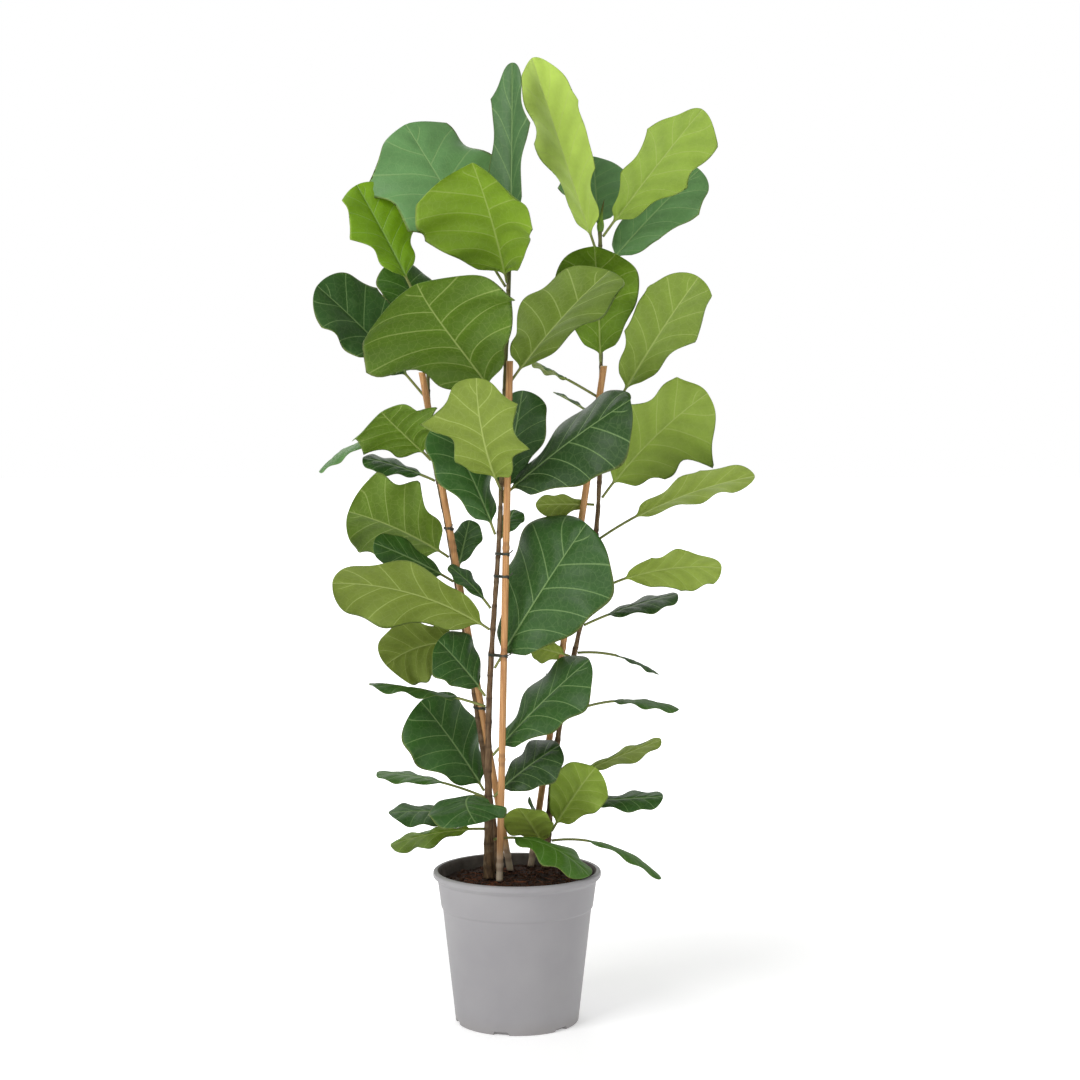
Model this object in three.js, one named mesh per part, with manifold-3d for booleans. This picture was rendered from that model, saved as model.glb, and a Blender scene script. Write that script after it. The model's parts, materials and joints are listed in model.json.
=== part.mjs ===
// A potted fiddle leaf fig: three caned stems with large leathery leaves in a grey nursery pot.
// Millimetres, +Z up. The origin is the middle of the pot's underside, and the plant faces -Y.
import * as THREE from "three";
import { mergeVertices } from "three/addons/utils/BufferGeometryUtils.js";
import Module from "manifold-3d";

// ---- Pot ----
const RIM_RADIUS = 120;
const RIM_TOP = 217;
const RIM_DEPTH = 11;
const COLLAR_TOP_RADIUS = 113.4;
const COLLAR_FOOT_RADIUS = 108.2;
const COLLAR_FOOT = 164;
const BODY_TOP_RADIUS = 106.2;
const BASE_RADIUS = 88;
const BASE_ROUND = 3;
const WALL = 2.6;
const FLOOR = 4;
const MOUTH_SPREAD = 1.5;
const CORNER = 3;
const CHAMFER = 0.3;
const COLLAR_STEP = 1;
const POT_SIDES = 64;
const DRAIN_NOTCHES = 6;
const NOTCH_WIDTH = 22;
const NOTCH_HEIGHT = 5;
const NOTCH_DEPTH = 7;
const NOTCH_START = -105;

// ---- Soil ----
const SOIL_TOP = 204;
const SOIL_GAP = 0.4;
const SOIL_SIDES = 48;
const SOIL_RISE = 3;
const SOIL_FOOT_SLOPE = 6;
const SOIL_CROWN = 0.8;

// ---- Stems and canes ----
const STEM_FOOT = 204.4;
const STEM_START = 200;
const STEM_SIDES = 8;
const STEM_RINGS = 22;
const FLARE_HEIGHT = 110;
const TOP_TAPER = 0.35;
// Each stem passes smoothly through its bends: height, x and y of its middle.
const STEMS = {
  front: {
    top: 1070, radius: 4.2, flare: 4.6,
    bends: [[200, -40, 0], [450, -40, 5], [700, -25, 5], [1100, -10, 0]],
  },
  left: {
    top: 1035, radius: 4, flare: 2.2,
    bends: [[200, -25, 55], [450, -60, 55], [700, -100, 50], [850, -125, 45], [1100, -125, 45]],
  },
  right: {
    top: 1130, radius: 4, flare: 2.6,
    bends: [[200, 40, 65], [400, 60, 65], [700, 115, 65], [1150, 120, 60]],
  },
};
const CANE_RADIUS = 5.2;
const CANE_SIDES = 16;
// Each bamboo cane runs straight from its foot at the soil to its cut top.
const CANES = {
  front: { foot: [-25, -20, 204.4], top: [-10, -10, 940] },
  left: { foot: [-10, 50, 204.4], top: [-135, 25, 925] },
  right: { foot: [20, 80, 204.4], top: [125, 50, 935] },
};

// ---- Leaves ----
const STALK_RADIUS = 1.9;
const BLADE_HALF_THICKNESS = 0.55;
const TIP_HALF_WIDTH = 1.2;
const STEM_GAP = 0.4;
const LEAF_SIDES = 8;
const WALK_STEPS = 12;
// Where along the blade it is widest, and the narrow waist nearer the stalk.
const WIDEST = 0.62;
const WAIST_AT = 0.27;
const WAIST_SPREAD = 0.13;
const WAIST_DEPTH = 0.16;
// How round the blade is towards its tip and towards its stalk.
const TIP_ROUNDING = { inner: 2.3, outer: 0.5 };
const BASE_ROUNDING = { inner: 1.7, outer: 0.7 };
// The margin waves up and down by a share of the width, a few times along the blade.
const WAVE_SHARE = 0.045;
const WAVE_COUNT = 2.6;
const WAVE_STEP = 0.37;
const WAVE_HAND = 0.3;
const BLADE_START = 0.1;
const STALK_STATIONS = [0, 0.5, 1];
const BLADE_STATIONS = [0.05, 0.14, 0.26, 0.4, 0.54, 0.68, 0.81, 0.92, 1];
// Every leaf: `at` is the height of its node on the stem; `bearing` is where it points (0 is +X,
// 90 is +Y) and `sweep` how far that turns by the tip; `rise` is how steeply it leaves the stem
// and `droop` how far that falls by the tip; `roll` turns the blade about its midrib, `fold` and
// `curl` lift its halves and `skew` lifts one half more; `youth` is 0 for an old dark leaf and 1
// for a new pale one. Lengths are in millimetres and angles in degrees.
const PLAIN = { droop: 10, sweep: 0, roll: 0, fold: 0, curl: -20, skew: 0, youth: 0.15 };
const LEAVES = {
  front: [
    { at: 260, bearing: -25, rise: 15, droop: 60, stalk: 30, length: 130, width: 95, youth: 0.4 },
    {
      at: 275, bearing: -160, rise: 5, droop: 20, roll: -30,
      stalk: 20, length: 120, width: 90, youth: 0.6,
    },
    { at: 320, bearing: 5, rise: 45, droop: 15, roll: -30, stalk: 15, length: 105, width: 100 },
    { at: 320, bearing: -140, rise: 20, droop: 60, sweep: 90, stalk: 25, length: 90, width: 115 },
    { at: 380, bearing: -5, rise: 50, roll: -35, stalk: 15, length: 180, width: 125 },
    { at: 450, bearing: -170, rise: 20, droop: 15, stalk: 40, length: 130, width: 80, youth: 0.2 },
    { at: 465, bearing: -170, rise: 55, roll: 50, fold: 10, stalk: 15, length: 90, width: 100 },
    { at: 505, bearing: -10, rise: 60, droop: 5, roll: -60, stalk: 20, length: 225, width: 190 },
    {
      at: 560, bearing: -165, rise: 35, droop: 35, roll: -45,
      stalk: 10, length: 230, width: 135, youth: 0.4,
    },
    { at: 590, bearing: 175, rise: 55, droop: 20, roll: 20, fold: 10, stalk: 15, length: 70, width: 50 },
    { at: 695, bearing: 175, rise: 70, roll: 40, stalk: 15, length: 165, width: 110 },
    { at: 740, bearing: 60, rise: 70, droop: 0, stalk: 20, length: 150, width: 95 },
    {
      at: 750, bearing: -25, rise: 40, roll: -70, fold: -10, skew: 15,
      stalk: 15, length: 220, width: 150,
    },
    {
      at: 760, bearing: -100, rise: 20, droop: -70, sweep: -20,
      stalk: 35, length: 165, width: 135, youth: 0.4,
    },
    {
      at: 880, bearing: -160, rise: 55, droop: 30, sweep: 60, roll: -25,
      curl: -25, stalk: 30, length: 220, width: 240, youth: 0.5,
    },
    {
      at: 905, bearing: -35, rise: 50, droop: 15, roll: 30,
      fold: 15, skew: -25, stalk: 30, length: 200, width: 180, youth: 0.5,
    },
    { at: 1030, bearing: 70, rise: 85, droop: -5, roll: 20, fold: 25, stalk: 50, length: 280, width: 70 },
    {
      at: 1045, bearing: 150, rise: 55, droop: 0, roll: 40,
      stalk: 60, length: 230, width: 190, youth: 0.35,
    },
    {
      at: 1050, bearing: -115, rise: 65, droop: 20,
      fold: -20, curl: -25, stalk: 10, length: 180, width: 210, youth: 0.8,
    },
  ],
  left: [
    { at: 275, bearing: -165, rise: 20, droop: 25, roll: 15, stalk: 40, length: 110, width: 75 },
    {
      at: 310, bearing: 165, rise: 20, droop: 20, roll: 10,
      stalk: 65, length: 105, width: 50, youth: 0.3,
    },
    { at: 320, bearing: 180, rise: 60, roll: 50, stalk: 10, length: 150, width: 135 },
    {
      at: 535, bearing: -175, rise: 10, droop: 50, roll: -60,
      stalk: 10, length: 110, width: 120, youth: 0.5,
    },
    { at: 625, bearing: -150, rise: 30, roll: 65, stalk: 20, length: 120, width: 60, youth: 0.2 },
    { at: 635, bearing: 60, rise: 65, droop: 0, stalk: 15, length: 70, width: 50 },
    {
      at: 660, bearing: -170, rise: 35, droop: 20, roll: -55, fold: 20,
      stalk: 15, length: 145, width: 155, youth: 0.5,
    },
    { at: 770, bearing: 175, rise: 25, droop: 15, roll: 25, stalk: 20, length: 90, width: 55 },
    {
      at: 800, bearing: -160, rise: 45, droop: 20, sweep: 50, roll: -30,
      stalk: 15, length: 105, width: 130, youth: 0.5,
    },
    {
      at: 825, bearing: 175, rise: 20, droop: 70, roll: 15,
      stalk: 65, length: 110, width: 55, youth: 0.3,
    },
    { at: 890, bearing: -165, rise: 50, roll: 55, fold: 20, stalk: 40, length: 180, width: 135 },
    { at: 960, bearing: 120, rise: 60, droop: 0, stalk: 20, length: 130, width: 95, youth: 0.3 },
    {
      at: 1005, bearing: 180, rise: 65, droop: 5, roll: 55, fold: 20,
      stalk: 60, length: 150, width: 110, youth: 0.85,
    },
  ],
  right: [
    { at: 245, bearing: -10, rise: 10, droop: 55, stalk: 50, length: 125, width: 45, youth: 0.35 },
    { at: 235, bearing: -115, rise: 45, roll: -15, stalk: 15, length: 100, width: 75, youth: 0.6 },
    { at: 260, bearing: -45, rise: 55, roll: 55, stalk: 15, length: 120, width: 85, youth: 0.6 },
    { at: 300, bearing: -10, rise: 5, droop: 0, roll: -20, stalk: 55, length: 105, width: 60 },
    { at: 330, bearing: 0, rise: 25, droop: 5, roll: 30, stalk: 45, length: 120, width: 65, youth: 0.4 },
    { at: 415, bearing: -145, rise: 50, sweep: -80, stalk: 15, length: 50, width: 40 },
    { at: 430, bearing: 0, rise: 25, droop: 45, roll: -5, stalk: 70, length: 100, width: 55, youth: 0.3 },
    { at: 520, bearing: 0, rise: 5, droop: 40, stalk: 55, length: 70, width: 40 },
    { at: 560, bearing: 5, rise: 25, droop: 15, roll: -15, stalk: 35, length: 110, width: 65 },
    {
      at: 605, bearing: -15, rise: 30, droop: 35, roll: 40,
      stalk: 55, length: 145, width: 100, youth: 0.55,
    },
    {
      at: 685, bearing: -10, rise: 35, droop: 25, roll: 30, fold: 15,
      stalk: 60, length: 185, width: 90, youth: 0.5,
    },
    {
      at: 745, bearing: -5, rise: 55, droop: 20, roll: 55, curl: -30,
      stalk: 25, length: 190, width: 165, youth: 0.6,
    },
    {
      at: 845, bearing: -30, rise: 60, roll: 35, fold: 15,
      stalk: 65, length: 195, width: 115, youth: 0.6,
    },
    { at: 860, bearing: 170, rise: 35, fold: 15, stalk: 10, length: 65, width: 40, youth: 0.3 },
    { at: 890, bearing: -165, rise: 30, droop: 5, stalk: 50, length: 60, width: 50, youth: 0.4 },
    { at: 940, bearing: -100, rise: 80, droop: 25, stalk: 10, length: 165, width: 125, youth: 0.65 },
    {
      at: 1070, bearing: 20, rise: 50, roll: -45, fold: 10,
      stalk: 25, length: 190, width: 105, youth: 0.3,
    },
    {
      at: 1095, bearing: -160, rise: 70, droop: 0, roll: -15, fold: 15,
      stalk: 25, length: 265, width: 130, youth: 0.8,
    },
    { at: 1110, bearing: 95, rise: 60, droop: 0, stalk: 35, length: 120, width: 105, youth: 0.3 },
    {
      at: 1120, bearing: -30, rise: 50, droop: 5, roll: 25, curl: -25,
      stalk: 25, length: 205, width: 125, youth: 0.85,
    },
  ],
};

// ---- Colours ----
const POT_GREY = 0xa5a5a9;
const SOIL_BROWN = 0x2a1a12;
const BARK_BROWN = 0x5b4a32;
const CANE_TAN = 0xc08f5e;
const OLD_GREEN = new THREE.Color(0x1f4a2a);
const NEW_GREEN = new THREE.Color(0x8fae3a);

const wasm = await Module();
wasm.setup();
const object = new THREE.Group();

function addMesh(name, geometry, color, roughness) {
  const material = new THREE.MeshStandardMaterial({ color, roughness, metalness: 0 });
  const mesh = new THREE.Mesh(geometry, material);
  mesh.name = name;
  object.add(mesh);
  return mesh;
}

function radians(...angles) {
  return angles.map(THREE.MathUtils.degToRad);
}

// The sum of two vectors, each times a number.
function mixed(first, firstShare, second, secondShare) {
  return first.clone().multiplyScalar(firstShare).addScaledVector(second, secondShare);
}

// A closed body through a list of rings that all have the same number of points. Cells on opposite
// sides are split along the same diagonal, so the two skins of a thin blade never cross.
function loft(rings) {
  const sides = rings[0].length;
  const points = rings.flat();
  const faces = [];
  for (let r = 0; r < rings.length - 1; r++) {
    for (let k = 0; k < sides; k++) {
      const a = r * sides + k;
      const b = r * sides + ((k + 1) % sides);
      if (k < sides / 2) {
        faces.push(a, b, b + sides, a, b + sides, a + sides);
      } else {
        faces.push(a, b, a + sides, b, b + sides, a + sides);
      }
    }
  }
  const last = (rings.length - 1) * sides;
  for (let k = 1; k < sides - 1; k++) {
    faces.push(0, k + 1, k);
    faces.push(last, last + k, last + k + 1);
  }
  const geometry = new THREE.BufferGeometry().setFromPoints(points);
  geometry.setIndex(faces);
  return geometry;
}

// ---- Pot and soil ----
function solidOf(geometry) {
  const bare = geometry.clone();
  bare.deleteAttribute("normal");
  bare.deleteAttribute("uv");
  const merged = mergeVertices(bare, 1e-3);
  const mesh = new wasm.Mesh({
    numProp: 3,
    vertProperties: merged.attributes.position.array,
    triVerts: new Uint32Array(merged.index.array),
  });
  return new wasm.Manifold(mesh);
}

function geometryOf(solid) {
  const mesh = solid.getMesh();
  const geometry = new THREE.BufferGeometry();
  geometry.setAttribute("position", new THREE.BufferAttribute(mesh.vertProperties, 3));
  geometry.setIndex(new THREE.BufferAttribute(mesh.triVerts, 1));
  return geometry;
}

// A lathe turned about +Z from (radius, height) points.
function turned(profile, sides) {
  const points = profile.map(([radius, height]) => new THREE.Vector2(radius, height));
  return new THREE.LatheGeometry(points, sides).rotateX(Math.PI / 2);
}

// Inner radius of the pot wall at a height.
function innerRadius(height) {
  const share = (height - FLOOR) / (COLLAR_FOOT - FLOOR);
  return THREE.MathUtils.lerp(BASE_RADIUS, BODY_TOP_RADIUS, share) - WALL;
}

function buildPot() {
  const rimFoot = RIM_TOP - RIM_DEPTH;
  const mouth = innerRadius(RIM_TOP) + MOUTH_SPREAD;
  const profile = [
    [0, 0],
    [BASE_RADIUS - BASE_ROUND, 0],
    [BASE_RADIUS - BASE_ROUND * CHAMFER, BASE_ROUND * CHAMFER],
    [BASE_RADIUS, BASE_ROUND],
    [BODY_TOP_RADIUS, COLLAR_FOOT - COLLAR_STEP],
    [COLLAR_FOOT_RADIUS, COLLAR_FOOT + COLLAR_STEP],
    [COLLAR_TOP_RADIUS, rimFoot - CORNER],
    [RIM_RADIUS - CORNER, rimFoot],
    [RIM_RADIUS - CORNER * CHAMFER, rimFoot + CORNER * (1 - CHAMFER)],
    [RIM_RADIUS, rimFoot + RIM_DEPTH / 2],
    [RIM_RADIUS - CORNER * CHAMFER, RIM_TOP - CORNER * (1 - CHAMFER)],
    [RIM_RADIUS - CORNER, RIM_TOP],
    [mouth + CORNER, RIM_TOP],
    [mouth, RIM_TOP - CORNER],
    [innerRadius(FLOOR + CORNER), FLOOR + CORNER],
    [innerRadius(FLOOR) - CORNER, FLOOR],
    [0, FLOOR],
  ];
  let pot = solidOf(turned(profile, POT_SIDES));
  for (let i = 0; i < DRAIN_NOTCHES; i++) {
    const angle = THREE.MathUtils.degToRad(NOTCH_START + (i * 360) / DRAIN_NOTCHES);
    const notch = new THREE.BoxGeometry(NOTCH_DEPTH * 2, NOTCH_WIDTH, NOTCH_HEIGHT * 2)
      .translate(BASE_RADIUS, 0, 0)
      .rotateZ(angle);
    pot = pot.subtract(solidOf(notch));
  }
  addMesh("pot", geometryOf(pot), POT_GREY, 0.55);
}

function buildSoil() {
  const foot = FLOOR + NOTCH_HEIGHT + SOIL_GAP;
  const profile = [
    [0, foot],
    [innerRadius(foot) - SOIL_FOOT_SLOPE, foot],
    [innerRadius(foot + SOIL_FOOT_SLOPE) - SOIL_GAP, foot + SOIL_FOOT_SLOPE],
    [innerRadius(SOIL_TOP - SOIL_RISE) - SOIL_GAP, SOIL_TOP - SOIL_RISE],
    [innerRadius(SOIL_TOP) * SOIL_CROWN, SOIL_TOP],
    [0, SOIL_TOP],
  ];
  addMesh("soil", turned(profile, SOIL_SIDES), SOIL_BROWN, 0.95);
}

// ---- Stems and canes ----
// The stem's middle at a height: a curve through its bends whose slope at each bend is that
// between the bends beside it.
function stemMiddle(stem, height) {
  const { bends } = stem;
  const last = bends.length - 2;
  const first = Math.min(last, bends.findLastIndex(([level]) => level <= height));
  const [from, to] = [bends[first], bends[first + 1]];
  const [before, after] = [bends[Math.max(first - 1, 0)], bends[Math.min(first + 2, last + 1)]];
  const run = to[0] - from[0];
  const f = (height - from[0]) / run;
  const value = (axis) => {
    const startSlope = ((to[axis] - before[axis]) / (to[0] - before[0])) * run;
    const endSlope = ((after[axis] - from[axis]) / (after[0] - from[0])) * run;
    const step = to[axis] - from[axis];
    const bow = f * (startSlope - step) * (1 - f) - f * f * (endSlope - step);
    return from[axis] + step * f + bow * (1 - f);
  };
  return new THREE.Vector3(value(1), value(2), height);
}

function stemRadius(stem, height) {
  const risen = height - STEM_START;
  const taper = 1 - (TOP_TAPER * risen) / (stem.top - STEM_START);
  return stem.radius * taper + stem.flare * Math.exp(-risen / FLARE_HEIGHT);
}

function circle(middle, radius, sides) {
  return Array.from({ length: sides }, (_, k) => {
    const angle = (2 * Math.PI * k) / sides;
    const spoke = new THREE.Vector3(Math.cos(angle), Math.sin(angle), 0);
    return spoke.multiplyScalar(radius).add(middle);
  });
}

function buildStem(name, stem) {
  const rings = [];
  for (let r = 0; r <= STEM_RINGS; r++) {
    const height = THREE.MathUtils.lerp(STEM_FOOT, stem.top, r / STEM_RINGS);
    rings.push(circle(stemMiddle(stem, height), stemRadius(stem, height), STEM_SIDES));
  }
  addMesh(`${name}_stem`, loft(rings), BARK_BROWN, 0.8);
}

function buildCane(name, cane) {
  const ends = [cane.foot, cane.top].map((point) => new THREE.Vector3(...point));
  const rings = ends.map((end) => circle(end, CANE_RADIUS, CANE_SIDES));
  addMesh(`${name}_cane`, loft(rings), CANE_TAN, 0.6);
}

// ---- Leaves ----
// Where an arc ends that starts at an angle, turns by another and is as long as given.
function arc(length, start, turn) {
  const half = turn / 2;
  const chord = Math.abs(half) < 1e-6 ? length : (length * Math.sin(half)) / half;
  return [chord * Math.cos(start + half), chord * Math.sin(start + half)];
}

// Half width of the blade as a share of its widest, from the stalk (0) to the tip (1).
function outline(t) {
  const tipward = t > WIDEST;
  const away = Math.abs(t - WIDEST) / (tipward ? 1 - WIDEST : WIDEST);
  const { inner, outer } = tipward ? TIP_ROUNDING : BASE_ROUNDING;
  const waist = Math.exp(-(((t - WAIST_AT) / WAIST_SPREAD) ** 2));
  return (1 - away ** inner) ** outer * (1 - WAIST_DEPTH * waist);
}

function direction(bearing, rise) {
  const flat = Math.cos(rise);
  return new THREE.Vector3(Math.cos(bearing) * flat, Math.sin(bearing) * flat, Math.sin(rise));
}

function buildLeaf(name, stem, given, index) {
  const leaf = { ...PLAIN, ...given };
  const [bearing, sweep, rise, droop] = radians(leaf.bearing, leaf.sweep, leaf.rise, leaf.droop);
  const [roll, fold, curl, skew] = radians(leaf.roll, leaf.fold, leaf.curl, leaf.skew);
  const whole = leaf.stalk + leaf.length;
  const heading = (share) => direction(bearing + sweep * share, rise - droop * share);
  const clear = stemRadius(stem, leaf.at) + STALK_RADIUS * Math.sin(Math.abs(rise)) + STEM_GAP;
  const foot = stemMiddle(stem, leaf.at).addScaledVector(direction(bearing, 0), clear);

  // The ring at a distance from the foot; t is the share of the blade passed, 0 on the stalk.
  const ring = (distance, t) => {
    const share = distance / whole;
    const middle = foot.clone();
    for (let step = 0; step < WALK_STEPS; step++) {
      const passed = (share * (step + 0.5)) / WALK_STEPS;
      middle.addScaledVector(heading(passed), distance / WALK_STEPS);
    }
    const side = direction(bearing + sweep * share - Math.PI / 2, 0);
    const face = side.clone().cross(heading(share));
    const across = mixed(side, Math.cos(roll), face, Math.sin(roll));
    const normal = mixed(face, Math.cos(roll), side, -Math.sin(roll));
    const blade = THREE.MathUtils.smoothstep(t, 0, BLADE_START);
    const broad = Math.max((leaf.width / 2) * outline(t), TIP_HALF_WIDTH);
    const halfWidth = THREE.MathUtils.lerp(STALK_RADIUS, broad, blade);
    const halfThickness = THREE.MathUtils.lerp(STALK_RADIUS, BLADE_HALF_THICKNESS, blade);
    return Array.from({ length: LEAF_SIDES }, (_, k) => {
      const angle = (-2 * Math.PI * k) / LEAF_SIDES;
      const u = Math.cos(angle);
      const hand = Math.sign(u);
      const tilt = (fold + hand * skew) * blade;
      const bend = curl * blade * Math.abs(u);
      const [span, rising] = arc(Math.abs(u) * halfWidth, tilt, bend);
      const wave = Math.sin(2 * Math.PI * (WAVE_COUNT * t + WAVE_STEP * index + WAVE_HAND * hand));
      const ripple = WAVE_SHARE * leaf.width * blade * u * u * wave * Math.sqrt(outline(t));
      const skin = Math.sin(angle) * halfThickness;
      const outwards = hand * (span - skin * Math.sin(tilt + bend));
      const upwards = rising + ripple + skin * Math.cos(tilt + bend);
      return middle.clone().addScaledVector(across, outwards).addScaledVector(normal, upwards);
    });
  };

  const rings = STALK_STATIONS.map((share) => ring(leaf.stalk * share, 0));
  BLADE_STATIONS.forEach((t) => rings.push(ring(leaf.stalk + leaf.length * t, t)));
  addMesh(name, loft(rings), OLD_GREEN.clone().lerp(NEW_GREEN, leaf.youth), 0.45);
}

buildPot();
buildSoil();
for (const [name, stem] of Object.entries(STEMS)) {
  buildStem(name, stem);
  buildCane(name, CANES[name]);
  LEAVES[name].forEach((leaf, i) => {
    buildLeaf(`${name}_leaf_${String(i + 1).padStart(2, "0")}`, stem, leaf, i);
  });
}

export default object;
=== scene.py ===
import json
import math

import bpy
import numpy as np
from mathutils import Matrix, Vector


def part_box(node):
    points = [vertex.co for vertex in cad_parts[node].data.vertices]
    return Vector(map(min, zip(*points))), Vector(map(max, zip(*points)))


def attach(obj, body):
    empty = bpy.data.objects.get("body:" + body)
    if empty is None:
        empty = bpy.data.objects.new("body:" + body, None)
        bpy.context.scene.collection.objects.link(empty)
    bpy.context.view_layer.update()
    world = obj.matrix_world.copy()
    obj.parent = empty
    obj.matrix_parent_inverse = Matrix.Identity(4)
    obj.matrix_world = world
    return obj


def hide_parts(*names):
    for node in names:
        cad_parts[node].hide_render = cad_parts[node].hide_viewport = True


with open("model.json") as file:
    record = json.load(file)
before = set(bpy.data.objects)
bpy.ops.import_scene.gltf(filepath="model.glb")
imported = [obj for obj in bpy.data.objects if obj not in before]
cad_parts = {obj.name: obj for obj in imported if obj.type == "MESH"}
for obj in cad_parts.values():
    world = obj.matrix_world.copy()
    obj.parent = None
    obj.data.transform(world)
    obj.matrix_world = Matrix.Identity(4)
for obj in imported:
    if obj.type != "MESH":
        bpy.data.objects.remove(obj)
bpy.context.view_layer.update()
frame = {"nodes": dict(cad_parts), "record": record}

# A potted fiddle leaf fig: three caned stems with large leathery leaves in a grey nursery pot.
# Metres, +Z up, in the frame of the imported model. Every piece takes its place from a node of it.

MM = 0.001

# ---- Leaves: the same way of growing as the frame's leaves, in millimetres and degrees ----
STALK_RADIUS = 1.9
BLADE_HALF_THICKNESS = 0.55
TIP_HALF_WIDTH = 1.2
STEM_GAP = 0.4
WALK_STEPS = 12
WIDEST = 0.62
WAIST_AT = 0.27
WAIST_SPREAD = 0.13
WAIST_DEPTH = 0.16
TIP_ROUNDING = (2.3, 0.5)
BASE_ROUNDING = (1.7, 0.7)
WAVE_SHARE = 0.045
# How many waves a blade has along it, and how far they move on from leaf to leaf and side to side.
BLADE_WAVES = (2.6, 0.37, 0.3)
BLADE_START = 0.1
FRAME_SIDES = 8
FRAME_STALK = np.array([0, 0.5, 1])
FRAME_BLADE = np.array([0.05, 0.14, 0.26, 0.4, 0.54, 0.68, 0.81, 0.92, 1])
# What the fine leaf adds to the frame's plain one.
HALF_COLUMNS = 40
COLUMN_CROWDING = 1.3
STALK_ROWS = 7
BLADE_ROWS = 56
VEIN_PAIRS = 5.6
VEIN_REACH = 0.34
VEIN_BEND = 0.13
VEIN_STAGGER = 0.2
QUILT_SHARE = 0.011
RIB_HEIGHT = 1.5
RIB_WIDTH = 2.4
LOBE_SHARE = 0.03
LOBE_WAVES = (1.4, 0.23, 0.35)
CORNER_SHARE = 0.34
CORNER_WAVES = (2.7, 0.31, 0.2)
CORNER_POINT = 0.8
MARGIN_START = (0.1, 0.4)
FRILL_SHARE = 0.016
FRILL_WAVES = (3.9, 0.61, 0.45)
FRILL_LEAST = 0.3
RIB_UPPER_SHARE = 0.35
ANGLES = ("bearing", "sweep", "rise", "droop", "roll", "fold", "curl", "skew")
# The per-leaf brightness number scales a leaf's whole colour: partly the leaf's own tone, partly painted
# shade below 1 and painted light above 1.
PLAIN = {
    "droop": 10, "sweep": 0, "roll": 0, "fold": 0, "curl": -20, "skew": 0,
    "youth": 0.15, "grey": 0, "fresh": 0, "painted_light_and_tone": 1, "lobed": 0,
}
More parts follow.
